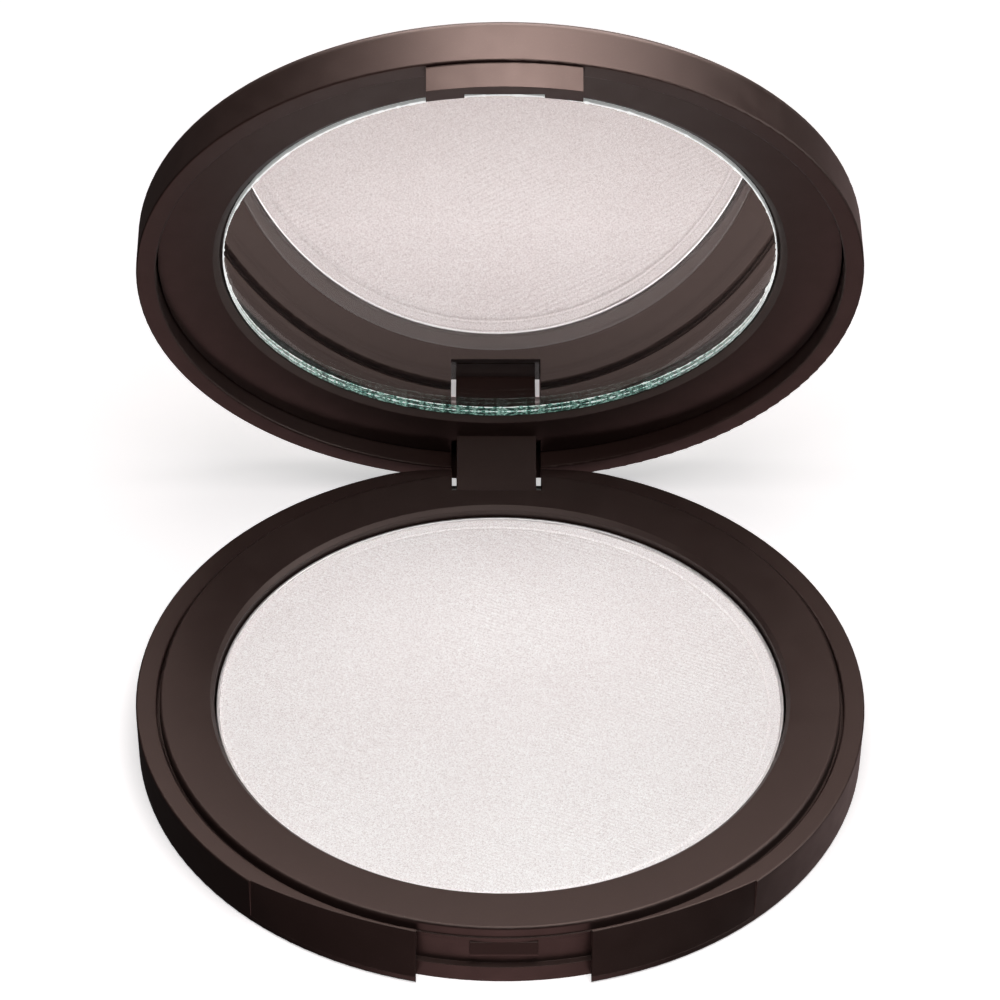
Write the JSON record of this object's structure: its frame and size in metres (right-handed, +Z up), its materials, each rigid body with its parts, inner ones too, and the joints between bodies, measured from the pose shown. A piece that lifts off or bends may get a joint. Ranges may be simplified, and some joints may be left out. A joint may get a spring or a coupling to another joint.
{
  "type": "powder compact",
  "caption": "Round hinged compact with a pan of pressed powder in the base, a round mirror in the lid, finger grips and a snap latch at the front.",
  "frame": {"origin": "centre of the flat foot under the base, on the table", "axes": "+Z up; -Y towards the latch and the user, +Y towards the hinge; +X to the user's right"},
  "size_m": [0.076, 0.0811, 0.0766],
  "materials": {
    "casing": "satin",
    "insert": "satin",
    "pan": "satin",
    "powder": "matte",
    "glue": "matte",
    "label": "satin",
    "pin": "satin",
    "glass": "polished",
    "silver": "polished",
    "tape": "matte"
  },
  "bodies": {
    "base": {"base_shell": "casing", "pan_tray": "insert", "pan_glue": "glue", "powder_pan": "pan", "pressed_powder": "powder", "base_label": "label", "hinge_pin": "pin"},
    "lid": {"lid_shell": "casing", "mirror_frame": "insert", "mirror_glass": "glass", "mirror_silvering": "silver", "mirror_tape": "tape"}
  },
  "joints": [
    {"name": "lid_hinge", "type": "hinge", "parent": "base", "child": "lid", "pos_m": [0, 0.03621, 0.00315], "axis": [-1, 0, 0], "range_deg": [-75.58, 19.4]}
  ]
}
